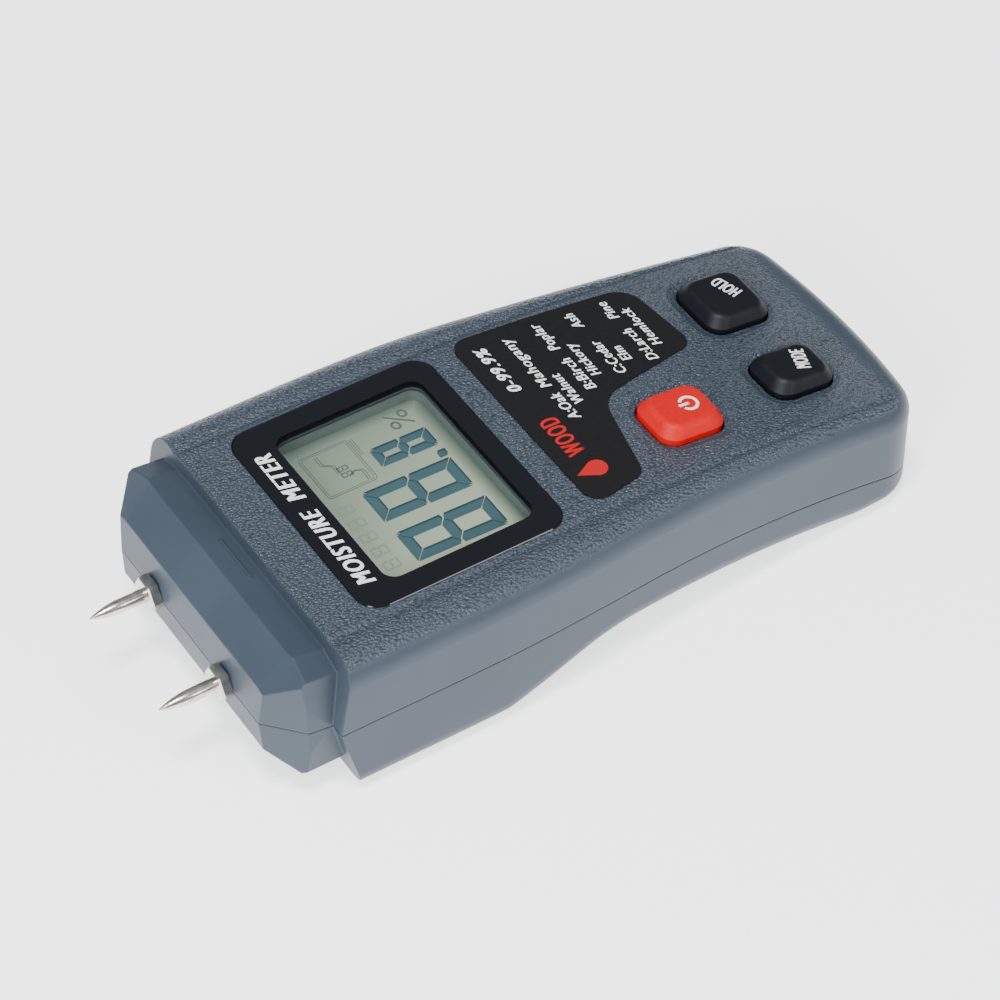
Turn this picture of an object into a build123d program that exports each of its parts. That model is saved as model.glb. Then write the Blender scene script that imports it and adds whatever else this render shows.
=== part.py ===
from build123d import *
import os
from math import asin, cos, degrees, radians, sin, sqrt

os.makedirs("parts", exist_ok=True)

# A pin-type moisture meter for wood, in millimetres. +X is the meter's right, +Y points along the
# measuring pins and +Z out of the display. The origin is the centre of the bounding box's bottom.

# --- Body ---
HALF = 31.2  # half of the greatest width
END_Y = -69.45  # keypad end
SHOULDER_Y = 48.35  # front wall of the body, at the parting line
HEAD_Y = 57.85  # front face of the head that carries the pins
TIP_Y = 69.45  # tips of the pins
HEAD_DRAFT = 6.0  # degrees that the head's sides lean in, above and below the parting line
TOP_Z = 28.6
PARTING_Z = 14.9  # where the front and rear cases meet
WALL = 2.0
SEAM = 0.08  # half of the visible gap at the parting line
PAST_END = END_Y - 3

# The body is straight under the display and bends down towards the keypad end from BEND_Y.
BEND_Y = 7.85
TOP_BEND_R = 385.0
PARTING_BEND_R = 322.0
BACK_R = PARTING_BEND_R - 8.6
HUMP_Y = (17.0, 44.6)  # flat underside of the battery hump
HUMP_FOOT_Y = -2.15

# --- Face ---
CREASE_X = 24.3  # the shallow crease along each side of the face, at the shoulder
CREASE_DEPTH = 0.35
CREASE_TURN = 1.06  # degrees that the crease turns in towards the keypad end
TOP_RIM_R = 4.5
BACK_RIM_R = 4.0
LABEL_CORNERS = (
    (-21.6, -4.2), (22.3, -4.2), (20.2, -38.3), (3.3, -40.4), (-1.2, -19.2), (-19.4, -15.2)
)
LABEL_RADII = (3.0, 3.0, 4.5, 3.0, 6.0, 3.0)
LABEL_T = 0.2
LABEL_PROUD = 0.05

# --- Display ---
WINDOW = (45.1, 37.4)
WINDOW_T = 1.3
WINDOW_Y = 19.33
WINDOW_R = 4.0
VIEW = (36.4, 27.4)
VIEW_Y = 17.92
VIEW_R = 2.5
GLASS = (40.0, 30.6)
GLASS_TOP = 24.4
GLASS_T = 1.1
GLASS_LEDGE = 3.0

# --- Boards and battery ---
PCB_TOP = 21.0
PCB_T = 1.0
BATTERY_T = 16.9
BATTERY_W = 26.4
BATTERY_BODY = 46.4
BATTERY_Z = 1.9
BATTERY_X = (-26.5, -26.5 + BATTERY_BODY)
TERMINAL_H = 2.1
BAY_X = 27.6
BAY_Y = (15.4, 43.6)
BAY_TOP = 19.0
BAY_ROOF = 19.9
COVER_TOP = 1.6
COVER_LIP = 0.8
COVER_X = (24.3, 26.0)  # half widths of the cover's outer plate and of its sliding tongues
COVER_END_Y = 43.0

# --- Keys: centre x, centre y, width, length ---
KEYS = {
    "power": (-10.9, -27.9, 11.0, 12.4),
    "mode": (-9.9, -51.1, 10.4, 12.2),
    "hold": (9.9, -51.1, 12.8, 12.4),
}
KEYPAD_Y = -39.0  # the keys and their board are square to the face here
KEY_PROUD = 2.1
KEY_TRAVEL = 0.8
KEY_GAP = 0.3
KEY_R = 3.0
KEY_SHOULDER = 0.2  # a cap's walls are upright to here and then lean in towards its top
KEY_LEAN = 1.3
KEY_TOP_R = 1.5
FLANGE_T = 0.8
FLANGE_DEPTH = 2.5  # from the face down to the top of a key's flange
BOARD_DEPTH = 5.3  # from the face down to the key board
KEY_BOARD_T = 1.2
DISH = 2.6  # width of the shallow dish around a key
DISH_DEPTH = 0.7

# --- Measuring pins ---
PIN_X = 11.3
PIN_R = 1.2
PIN_STRAIGHT = 4.2
COLLAR_AF = 5.5
COLLAR_T = 1.76
STUD_R = 1.5
SOCKET_R = 3.2
SOCKET_Y = (48.6, 55.6)

# --- Fasteners ---
CASE_SCREWS = ((24.5, 2.5, 8.0), (17.6, -61.7, 3.4))  # x, y and the height of the head's seat
CASE_SCREW_L = 11.5
CASE_SCREW_R = 1.2
CASE_HEAD = (2.4, 1.6)  # radius and height of the head
BOARD_HEAD = (1.9, 1.1)
PILOT_GAP = 0.05
BOARD_SCREW_X = 18.5
BOARD_SCREW_Y = -3.0
KEY_BOARD_SCREW_Y = -39.0
BOARD_SCREW_R = 0.9


def drop(radius, y):
    """How far a surface that bends down from BEND_Y with this radius has dropped at y."""
    return radius - sqrt(radius**2 - (BEND_Y - y) ** 2) if y < BEND_Y else 0.0


def top_z(y):
    return TOP_Z - drop(TOP_BEND_R, y)


def back_z(y):
    return PARTING_Z - PARTING_BEND_R + sqrt(BACK_R**2 - (BEND_Y - y) ** 2)


def parting_z(y):
    return PARTING_Z - drop(PARTING_BEND_R, y)


FOOT_Y = BEND_Y - sqrt(BACK_R**2 - (PARTING_BEND_R - PARTING_Z) ** 2)
KEYPAD_SLOPE = degrees(asin((BEND_Y - KEYPAD_Y) / TOP_BEND_R))
KEYPAD = Plane(
    origin=(0, KEYPAD_Y, top_z(KEYPAD_Y)),
    x_dir=(1, 0, 0),
    z_dir=Vector(0, 0, 1).rotate(Axis.X, KEYPAD_SLOPE),
)


def export(part, name):
    part.label = name
    export_step(part, f"parts/{name}.step")


def near(value, wanted):
    return abs(value - wanted) < 0.05


def is_level(edge):
    return abs((edge % 0.5).Z) < 0.5


# ------------------------------------------------------------------ simple solids used again
def block(x_range, y_range, z_range, radius=0.0):
    """An upright block between these limits, with its upright edges rounded."""
    width, length = x_range[1] - x_range[0], y_range[1] - y_range[0]
    middle = ((x_range[0] + x_range[1]) / 2, (y_range[0] + y_range[1]) / 2, z_range[0])
    with BuildPart() as solid:
        with BuildSketch(Plane(middle)):
            if radius:
                RectangleRounded(width, length, radius)
            else:
                Rectangle(width, length)
        extrude(amount=z_range[1] - z_range[0])
    return solid.part


def post(x, y, radius, low, high):
    with BuildPart() as round_post:
        with BuildSketch(Plane((x, y, low))):
            Circle(radius)
        extrude(amount=high - low)
    return round_post.part


def rod(x, z, radius, y_range):
    """A round bar along Y."""
    with BuildPart() as bar:
        with BuildSketch(Plane.XZ.offset(-y_range[1])):
            with Locations((x, z)):
                Circle(radius)
        extrude(amount=y_range[1] - y_range[0])
    return bar.part


def key_bar(x, y, width, length, radius, low, high):
    """A bar square to the keypad, between two distances out of the face."""
    with BuildPart() as bar:
        with BuildSketch(KEYPAD.offset(low)):
            with Locations((x, y - KEYPAD_Y)):
                RectangleRounded(width, length, radius)
        extrude(amount=high - low)
    return bar.part


def key_post(x, y, radius, low, high):
    with BuildPart() as round_post:
        with BuildSketch(KEYPAD.offset(low)):
            with Locations((x, y - KEYPAD_Y)):
                Circle(radius)
        extrude(amount=high - low)
    return round_post.part


# ------------------------------------------------------------------ outer and inner shapes
def body_plan(inset):
    """The body seen from above: wide under the display, narrower at the keypad end."""
    with BuildSketch() as plan:
        with BuildLine():
            half = HALF - inset
            Polyline((0, SHOULDER_Y), (half, SHOULDER_Y), (half, 23.85))
            waist = TangentArc((half, 23.85), (29.4 - inset, -8.15), tangent=(0, -1))
            corner = (25.4 - inset, -66.85 + inset)
            handle = TangentArc(waist @ 1, corner, tangent=waist % 1)
            ThreePointArc(handle @ 1, (12.7, -68.8 + inset), (0, END_Y + inset))
            mirror(about=Plane.YZ)
        make_face()
        corners = plan.vertices().filter_by(lambda v: near(abs(v.X), corner[0]) and v.Y < -60)
        fillet(corners, 8.0 - inset)
    return plan.sketch


def body_profile(inset):
    """The body seen from the side, with the battery hump and the bend of the handle."""
    with BuildSketch() as profile:
        with BuildLine():
            Polyline((HUMP_Y[1], 0), (SHOULDER_Y, PARTING_Z), (45.9, TOP_Z), (BEND_Y, TOP_Z))
            top = TangentArc((BEND_Y, TOP_Z), (PAST_END, top_z(PAST_END)), tangent=(-1, 0))
            Polyline(top @ 1, (PAST_END, 0), (FOOT_Y, 0))
            ThreePointArc((FOOT_Y, 0), (-30, back_z(-30)), (HUMP_FOOT_Y, back_z(HUMP_FOOT_Y)))
            Polyline((HUMP_FOOT_Y, back_z(HUMP_FOOT_Y)), (HUMP_Y[0], 0), (HUMP_Y[1], 0))
        make_face()
        fillet(profile.vertices().filter_by(lambda v: near(v.X, HUMP_Y[0])), 8.0)
        fillet(profile.vertices().filter_by(lambda v: near(v.X, HUMP_FOOT_Y)), 30.0)
        fillet(profile.vertices().filter_by(lambda v: near(v.X, FOOT_Y)), 20.0)
        if inset:
            offset(amount=-inset, mode=Mode.REPLACE)
    return profile.sketch


def body_solid(inset):
    with BuildPart() as body:
        with BuildSketch():
            add(body_plan(inset))
        extrude(amount=40)
        with BuildSketch(Plane.YZ):
            add(body_profile(inset))
        extrude(amount=HALF + 5, both=True, mode=Mode.INTERSECT)
    return body.part


def head_solid(inset):
    """The faceted block in front of the body."""
    lean = radians(HEAD_DRAFT)
    with BuildPart() as head:
        with BuildSketch():
            with BuildLine():
                Polyline((0, 41.0), (28.5, 41.0), (28.5, 48.4), (28.0, 52.35), (22.0, HEAD_Y), (0, HEAD_Y))
                mirror(about=Plane.YZ)
            make_face()
            if inset:
                offset(amount=-inset, mode=Mode.REPLACE)
        extrude(amount=40)
        with BuildSketch(Plane.YZ):
            with BuildLine():
                Polyline(
                    (HEAD_Y, PARTING_Z), (57.15, 22.1), (51.85, 27.1), (45.5, 26.15), (41.0, 26.15),
                    (41.0, 2.6), (51.85, 3.6), (57.5, 9.0), close=True,
                )
            make_face()
            if inset:
                offset(amount=-inset, mode=Mode.REPLACE)
        extrude(amount=HALF, both=True, mode=Mode.INTERSECT)
        for side in (-1, 1):
            facets = (
                ((side * 22.6, 51.85, 27.1), (side * 7.45, -3.3, 26.3)),
                ((side * 20.2, 57.15, 22.2), (side * 0.12, 0.67, 0.69)),
                ((side * 23.0, 51.0, 2.8), (side * 3.3, 0.0, -5.5)),
                ((side * 28.5, 48.0, PARTING_Z), (side * cos(lean), 0.0, sin(lean))),
                ((side * 28.5, 48.0, PARTING_Z), (side * cos(lean), 0.0, -sin(lean))),
            )
            for point, outward in facets:
                split(bisect_by=Plane(origin=point, z_dir=outward).offset(-inset), keep=Keep.BOTTOM)
    return head.part


def seam_region(lift, above):
    """Everything above or below the parting surface, which is moved up by lift."""
    z = PARTING_Z + lift
    far = 60 if above else -60
    with BuildPart() as region:
        with BuildSketch(Plane.YZ):
            with BuildLine():
                Line((80, z), (BEND_Y, z))
                bend = TangentArc(
                    (BEND_Y, z), (PAST_END, parting_z(PAST_END) + lift), tangent=(-1, 0)
                )
                Polyline(bend @ 1, (PAST_END, far), (80, far), (80, z))
            make_face()
        extrude(amount=HALF + 5, both=True)
    return region.part


def crease_cut(side):
    """The shallow crease between the textured face and its rounded edge."""
    section = [
        (CREASE_X - 1.0, TOP_Z + 0.02),
        (CREASE_X, TOP_Z - CREASE_DEPTH),
        (CREASE_X + 1.6, TOP_Z + 0.02),
    ]
    with BuildPart() as cut:
        with BuildSketch(Plane.XZ.offset(-SHOULDER_Y)):
            with BuildLine():
                Polyline(*section, close=True)
            make_face()
        extrude(amount=SHOULDER_Y - BEND_Y)
        with BuildSketch(Plane.XZ.offset(-BEND_Y)):
            with BuildLine():
                Polyline(*section, close=True)
            make_face()
        revolve(axis=Axis((0, BEND_Y, TOP_Z - TOP_BEND_R), (1, 0, 0)), revolution_arc=13)
    turned = cut.part.rotate(Axis((CREASE_X, SHOULDER_Y, 0), (0, 0, 1)), -CREASE_TURN)
    return turned if side > 0 else turned.mirror(Plane.YZ)


def dish(x, y, width, length):
    """The shallow dish in the face around a key."""
    with BuildPart() as hollow:
        with BuildSketch(KEYPAD.offset(0.6)):
            with Locations((x, y - KEYPAD_Y)):
                RectangleRounded(width + 2 * DISH + 1.2, length + 2 * DISH + 1.2, KEY_R + DISH + 0.6)
        with BuildSketch(KEYPAD.offset(-DISH_DEPTH)):
            with Locations((x, y - KEYPAD_Y)):
                RectangleRounded(width + 1.6, length + 1.6, KEY_R + 0.8)
        loft(ruled=True)
        fillet(hollow.edges().group_by(Axis(KEYPAD.origin, KEYPAD.z_dir))[0], 1.2)
    return hollow.part


def label_prism(grow):
    with BuildPart() as prism:
        with BuildSketch(Plane.XY.offset(15)) as outline:
            with BuildLine():
                Polyline(*LABEL_CORNERS, close=True)
            make_face()
            for corner, radius in zip(LABEL_CORNERS, LABEL_RADII):
                fillet(outline.vertices().sort_by_distance((*corner, 0))[0], radius)
            if grow:
                offset(amount=grow, mode=Mode.REPLACE)
        extrude(amount=20)
    return prism.part


def face_skin(low, high):
    """The layer of the bent face between two distances from it, measured outwards."""
    with BuildPart() as skin:
        with BuildSketch(Plane.YZ):
            with BuildLine():
                arcs = [
                    TangentArc(
                        (BEND_Y, TOP_Z + out),
                        (PAST_END, TOP_Z + out - drop(TOP_BEND_R + out, PAST_END)),
                        tangent=(-1, 0),
                    )
                    for out in (low, high)
                ]
                Line(arcs[0] @ 0, arcs[1] @ 0)
                Line(arcs[0] @ 1, arcs[1] @ 1)
            make_face()
        extrude(amount=HALF, both=True)
    return skin.part


outer_head = head_solid(0)
inner_head = head_solid(WALL)
with BuildPart() as outer:
    add(body_solid(0))
    # the long edges and the keypad end are rounded above and below
    rims = outer.edges().filter_by(is_level)
    top_rim = rims.filter_by(lambda e: min((e @ 0).Z, (e @ 1).Z) > 18.5)
    fillet(top_rim.filter_by(lambda e: abs((e @ 0.5).X) > 20 or (e @ 0.5).Y < -60), TOP_RIM_R)
    back_rim = rims.filter_by(lambda e: max((e @ 0).Z, (e @ 1).Z) < 9.5)
    fillet(back_rim.filter_by(lambda e: abs((e @ 0.5).X) > 20 or (e @ 0.5).Y < -66), BACK_RIM_R)
    for side in (-1, 1):
        add(crease_cut(side), mode=Mode.SUBTRACT)
    add(outer_head)
with BuildPart() as inner:
    add(body_solid(WALL))
    add(inner_head)


# ------------------------------------------------------------------ front case
with BuildPart() as front_case:
    add(outer.part)
    add(inner.part, mode=Mode.SUBTRACT)
    # bosses for the case screws and the board screws, and the upper halves of the socket cradles
    for side in (-1, 1):
        for x, y, seat in CASE_SCREWS:
            add(post(side * x, y, 3.2, parting_z(y) + 0.2, top_z(y) - 1.0))
        add(post(side * BOARD_SCREW_X, BOARD_SCREW_Y, 2.2, PCB_TOP, top_z(BOARD_SCREW_Y) - 1.0))
        add(key_post(side * BOARD_SCREW_X, KEY_BOARD_SCREW_Y, 2.2, -BOARD_DEPTH, -1.0))
        add(block((side * PIN_X - 5, side * PIN_X + 5), (51.5, 53.0), (PARTING_Z + 0.4, 25.0)))
    add(outer.part, mode=Mode.INTERSECT)
    add(seam_region(SEAM, True), mode=Mode.INTERSECT)
    # openings and recesses
    window_y = (WINDOW_Y - WINDOW[1] / 2 - 0.1, WINDOW_Y + WINDOW[1] / 2 + 0.1)
    window_x = (-WINDOW[0] / 2 - 0.1, WINDOW[0] / 2 + 0.1)
    add(block(window_x, window_y, (TOP_Z - WINDOW_T - 0.05, TOP_Z + 1), WINDOW_R + 0.1), mode=Mode.SUBTRACT)
    view_y = (VIEW_Y - VIEW[1] / 2, VIEW_Y + VIEW[1] / 2)
    add(block((-VIEW[0] / 2, VIEW[0] / 2), view_y, (20, 30), VIEW_R), mode=Mode.SUBTRACT)
    for x, y, width, length in KEYS.values():
        add(dish(x, y, width, length), mode=Mode.SUBTRACT)
        hole = key_bar(x, y, width + 2 * KEY_GAP, length + 2 * KEY_GAP, KEY_R + KEY_GAP, -4.0, 2.0)
        add(hole, mode=Mode.SUBTRACT)
    label_pocket = label_prism(0.1) & face_skin(LABEL_PROUD - LABEL_T - 0.02, 1.0)
    add(label_pocket, mode=Mode.SUBTRACT)
    for side in (-1, 1):
        for x, y, seat in CASE_SCREWS:
            add(post(side * x, y, CASE_SCREW_R + PILOT_GAP, 0, seat + CASE_SCREW_L + 0.5), mode=Mode.SUBTRACT)
        add(post(side * BOARD_SCREW_X, BOARD_SCREW_Y, 0.95, 15, PCB_TOP + 4.2), mode=Mode.SUBTRACT)
        add(key_post(side * BOARD_SCREW_X, KEY_BOARD_SCREW_Y, 0.95, -9, 4 - BOARD_DEPTH), mode=Mode.SUBTRACT)
        add(rod(side * PIN_X, PARTING_Z, STUD_R + 0.15, (54, 60)), mode=Mode.SUBTRACT)
        add(rod(side * PIN_X, PARTING_Z, SOCKET_R + 0.05, (48, 55.75)), mode=Mode.SUBTRACT)
    # the snap rib for the storage cap, on top of the head
    add(block((-4.4, 5.1), (48.3, 48.7), (26.0, 26.9)))
export(front_case.part, "front_case")


# ------------------------------------------------------------------ rear case
with BuildPart() as bay_room:
    add(block((-BAY_X, BAY_X), BAY_Y, (COVER_TOP + 0.1, BAY_TOP), 1.0))
with BuildPart() as cover_slot:
    add(block((-COVER_X[0] - 0.2, COVER_X[0] + 0.2), (5, COVER_END_Y + 0.1), (-1, COVER_TOP + 0.1)))
    slot_z = (COVER_LIP + 0.05, COVER_TOP + 0.1)
    add(block((-COVER_X[1] - 0.2, COVER_X[1] + 0.2), (5, COVER_END_Y + 0.1), slot_z))

with BuildPart() as rear_case:
    add(outer.part)
    add(inner.part, mode=Mode.SUBTRACT)
    add(block((-29.6, 29.6), (BAY_Y[0] - 1.2, BAY_Y[1] + 1.2), (0.5, PARTING_Z - SEAM)))
    for side in (-1, 1):
        for x, y, seat in CASE_SCREWS:
            add(post(side * x, y, 3.9, back_z(y) if y > FOOT_Y else 0.5, seat + 1.6))
            add(post(side * x, y, 3.2, seat, parting_z(y) - 0.2))
        add(block((side * PIN_X - 5, side * PIN_X + 5), (51.5, 53.0), (3.5, PARTING_Z - 0.4)))
    add(outer.part, mode=Mode.INTERSECT)
    add(seam_region(-SEAM, False), mode=Mode.INTERSECT)
    # the battery bay stands up inside the front case
    add(block((-28.8, 28.8), (BAY_Y[0] - 1.2, BAY_Y[1] + 1.2), (PARTING_Z - 1, BAY_ROOF), 1.2))
    add(bay_room.part, mode=Mode.SUBTRACT)
    add(cover_slot.part, mode=Mode.SUBTRACT)
    lead_notch = block((22.4, 25.6), (BAY_Y[0] - 2.0, BAY_Y[0] + 1.0), (8.5, 14.0))
    add(lead_notch, mode=Mode.SUBTRACT)
    for side in (-1, 1):
        for x, y, seat in CASE_SCREWS:
            add(post(side * x, y, 1.45, 0, 20), mode=Mode.SUBTRACT)
            add(post(side * x, y, CASE_HEAD[0] + 0.3, -1, seat), mode=Mode.SUBTRACT)
        add(rod(side * PIN_X, PARTING_Z, STUD_R + 0.15, (54, 60)), mode=Mode.SUBTRACT)
        add(rod(side * PIN_X, PARTING_Z, SOCKET_R + 0.05, (48, 55.75)), mode=Mode.SUBTRACT)
export(rear_case.part, "rear_case")

# the battery cover is a slice of the hump that slides out towards the keypad end
with BuildPart() as battery_cover:
    add(block((-COVER_X[0], COVER_X[0]), (13.2, COVER_END_Y), (-1, COVER_TOP)))
    add(block((-COVER_X[1], COVER_X[1]), (13.2, COVER_END_Y), (COVER_LIP + 0.15, COVER_TOP)))
    add(outer.part, mode=Mode.INTERSECT)
    for row in range(5):
        add(block((-9, 9), (18.6 + 1.7 * row, 19.4 + 1.7 * row), (-0.1, 0.4)), mode=Mode.SUBTRACT)
    with BuildSketch(Plane.XY.offset(-0.1)):
        with BuildLine():
            Polyline((-4.5, 33.0), (4.5, 33.0), (0, 28.4), close=True)
        make_face()
    extrude(amount=0.45, mode=Mode.SUBTRACT)
export(battery_cover.part, "battery_cover")

# ------------------------------------------------------------------ window and label
with BuildPart() as display_window:
    window_x = (-WINDOW[0] / 2, WINDOW[0] / 2)
    window_y = (WINDOW_Y - WINDOW[1] / 2, WINDOW_Y + WINDOW[1] / 2)
    add(block(window_x, window_y, (TOP_Z - WINDOW_T, TOP_Z), WINDOW_R))
    chamfer(display_window.edges().group_by(Axis.Z)[-1], 0.15)
export(display_window.part, "display_window")

with BuildPart() as species_label:
    add(label_prism(0))
    add(face_skin(LABEL_PROUD - LABEL_T, LABEL_PROUD), mode=Mode.INTERSECT)
export(species_label.part, "species_label")

# ------------------------------------------------------------------ keys
with BuildPart() as key_contact_pads:
    for x, y, width, length in KEYS.values():
        add(key_post(x, y, 2.6, -BOARD_DEPTH, 0.05 - BOARD_DEPTH))
export(key_contact_pads.part, "key_contact_pads")

PILL_LOW = 0.05 + KEY_TRAVEL + 0.03 - BOARD_DEPTH
PILL_HIGH = PILL_LOW + 0.5
for name, (x, y, width, length) in KEYS.items():
    with BuildPart() as key:
        add(key_bar(x, y, width, length, KEY_R, -FLANGE_DEPTH - FLANGE_T, KEY_SHOULDER))
        for out, inset in ((KEY_SHOULDER, 0), (KEY_PROUD, KEY_LEAN)):
            with BuildSketch(KEYPAD.offset(out)):
                with Locations((x, y - KEYPAD_Y)):
                    RectangleRounded(width - 2 * inset, length - 2 * inset, KEY_R - inset / 4)
        loft(ruled=True)
        levels = key.edges().group_by(Axis(KEYPAD.origin, KEYPAD.z_dir))
        fillet(levels[-1], KEY_TOP_R)
        flange_z = (-FLANGE_DEPTH - FLANGE_T, -FLANGE_DEPTH)
        add(key_bar(x, y, width + 2.6, length - 1.0, 1.5, *flange_z))
        add(key_post(x, y, 3.0, PILL_HIGH, -FLANGE_DEPTH))
    export(key.part, f"{name}_key")
    with BuildPart() as pill:
        add(key_post(x, y, 2.0, PILL_LOW, PILL_HIGH))
    export(pill.part, f"{name}_key_contact")

# ------------------------------------------------------------------ display
VIEW_X = VIEW[0] / 2
GLASS_X = GLASS[0] / 2
GLASS_Y = (VIEW_Y - GLASS[1] / 2, VIEW_Y + GLASS[1] / 2)
GLASS_LOW = GLASS_TOP - GLASS_T
REAR_LOW = GLASS_LOW - GLASS_T
FRAME_TOP = TOP_Z - WALL - 0.1

with BuildPart() as lcd_front_glass:
    add(block((-GLASS_X, GLASS_X), GLASS_Y, (GLASS_LOW, GLASS_TOP)))
export(lcd_front_glass.part, "lcd_front_glass")

with BuildPart() as lcd_rear_glass:
    add(block((-GLASS_X, GLASS_X), (GLASS_Y[0] + GLASS_LEDGE, GLASS_Y[1]), (REAR_LOW, GLASS_LOW)))
export(lcd_rear_glass.part, "lcd_rear_glass")

with BuildPart() as lcd_reflector:
    reflector_y = (GLASS_Y[0] + GLASS_LEDGE, GLASS_Y[1])
    add(block((-GLASS_X, GLASS_X), reflector_y, (REAR_LOW - 0.2, REAR_LOW)))
export(lcd_reflector.part, "lcd_reflector")

with BuildPart() as zebra_strip:
    add(block((-18, 18), (GLASS_Y[0] + 0.3, GLASS_Y[0] + 2.7), (PCB_TOP, GLASS_LOW)))
export(zebra_strip.part, "zebra_strip")

with BuildPart() as lcd_frame:
    add(block((-21.0, 21.0), (VIEW_Y - 17.2, VIEW_Y + 17.2), (PCB_TOP, FRAME_TOP), 1.5))
    pocket_y = (GLASS_Y[0] - 0.15, GLASS_Y[1] + 0.15)
    glass_pocket = block((-GLASS_X - 0.15, GLASS_X + 0.15), pocket_y, (PCB_TOP - 1, GLASS_TOP + 0.05))
    add(glass_pocket, mode=Mode.SUBTRACT)
    view_y = (VIEW_Y - VIEW[1] / 2, VIEW_Y + VIEW[1] / 2)
    add(block((-VIEW_X, VIEW_X), view_y, (PCB_TOP, 30), VIEW_R), mode=Mode.SUBTRACT)
export(lcd_frame.part, "lcd_frame")

# ------------------------------------------------------------------ boards
PCB_BOTTOM = PCB_TOP - PCB_T
with BuildPart() as main_board:
    add(block((-27.0, 27.0), (6.6, 43.2), (PCB_BOTTOM, PCB_TOP), 1.0))
    add(block((-20.8, 20.8), (-7.0, 8.0), (PCB_BOTTOM, PCB_TOP), 1.0))
    for side in (-1, 1):
        hole = post(side * BOARD_SCREW_X, BOARD_SCREW_Y, BOARD_SCREW_R + 0.2, 15, 25)
        add(hole, mode=Mode.SUBTRACT)
export(main_board.part, "main_board")

KEY_BOARD_LOW = -BOARD_DEPTH - KEY_BOARD_T
with BuildPart() as key_board:
    add(key_bar(0, KEYPAD_Y + 0.7, 41.6, 32.6, 1.0, KEY_BOARD_LOW, -BOARD_DEPTH))
    for side in (-1, 1):
        hole = key_post(side * BOARD_SCREW_X, KEY_BOARD_SCREW_Y, BOARD_SCREW_R + 0.2, -9, -4)
        add(hole, mode=Mode.SUBTRACT)
export(key_board.part, "key_board")

# the ribbon that joins the two boards
RIBBON_POINTS = [
    KEYPAD.from_local_coords(Vector(0, along, out - BOARD_DEPTH))
    for along, out in ((17.2, 1.4), (12.5, 0.2), (8.5, 0.2))
]
with BuildPart() as board_ribbon:
    with BuildSketch(Plane.YZ.offset(0.5)):
        with BuildLine():
            FilletPolyline(
                (-1.5, PCB_TOP + 0.2), (-8.0, PCB_TOP + 0.2), *[(p.Y, p.Z) for p in RIBBON_POINTS],
                radius=2.0,
            )
        trace(line_width=0.3)
    extrude(amount=9)
export(board_ribbon.part, "board_ribbon")


# ------------------------------------------------------------------ parts on the main board
def chip(x, y, width, length, height, legs, pitch, on_all_sides):
    """A chip under the main board: a body and rows of bent legs."""
    with BuildPart() as package:
        body_z = (PCB_BOTTOM - height, PCB_BOTTOM - 0.15)
        add(block((x - width / 2, x + width / 2), (y - length / 2, y + length / 2), body_z))
        for leg in range(legs):
            along = (leg - (legs - 1) / 2) * pitch
            for side in (-1, 1):
                foot_x = x + side * (width / 2 + 0.5)
                foot = block((foot_x - 0.7, foot_x + 0.7), (y + along - 0.15, y + along + 0.15),
                             (PCB_BOTTOM - 0.3, PCB_BOTTOM - 0.02))
                add(foot)
                if on_all_sides:
                    foot_y = y + side * (length / 2 + 0.5)
                    foot = block((x + along - 0.15, x + along + 0.15), (foot_y - 0.7, foot_y + 0.7),
                                 (PCB_BOTTOM - 0.3, PCB_BOTTOM - 0.02))
                    add(foot)
    return package.part


export(chip(0, 6.0, 10.0, 10.0, 1.6, 12, 0.75, True), "controller_chip")
export(chip(-12.5, 6.0, 4.0, 5.0, 1.6, 4, 1.27, False), "amplifier_chip")

with BuildPart() as crystal:
    add(block((-5.5, 5.5), (-5.4, -0.9), (PCB_BOTTOM - 3.6, PCB_BOTTOM - 0.02), 2.2))
    fillet(crystal.edges().group_by(Axis.Z)[0], 0.4)
export(crystal.part, "crystal")

with BuildPart() as filter_capacitor:
    add(post(11.5, -1.2, 2.5, PCB_BOTTOM - 7.0, PCB_BOTTOM - 0.02))
    chamfer(filter_capacitor.edges().group_by(Axis.Z)[0], 0.3)
export(filter_capacitor.part, "filter_capacitor")

with BuildPart() as trimmer:
    add(block((-15.0, -9.0), (-4.6, 1.4), (PCB_BOTTOM - 4.5, PCB_BOTTOM - 0.02), 0.4))
    add(post(-12.0, -1.6, 1.5, PCB_BOTTOM - 5.0, PCB_BOTTOM - 4.4))
    slot = block((-13.6, -10.4), (-1.9, -1.3), (PCB_BOTTOM - 5.1, PCB_BOTTOM - 4.7))
    add(slot, mode=Mode.SUBTRACT)
export(trimmer.part, "trimmer")

with BuildPart() as chip_resistors:
    for x, y in ((-8.4, 3.0), (-8.4, 5.4), (-8.4, 7.8), (8.4, 10.6), (10.6, 10.6), (12.8, 10.6)):
        add(block((x - 0.8, x + 0.8), (y - 0.4, y + 0.4), (PCB_BOTTOM - 0.5, PCB_BOTTOM - 0.02)))
export(chip_resistors.part, "chip_resistors")

with BuildPart() as chip_capacitors:
    for x, y in ((8.6, 3.4), (8.6, 6.0), (8.6, 8.2), (-8.6, 10.6)):
        add(block((x - 1.0, x + 1.0), (y - 0.6, y + 0.6), (PCB_BOTTOM - 0.9, PCB_BOTTOM - 0.02)))
export(chip_capacitors.part, "chip_capacitors")

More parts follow.
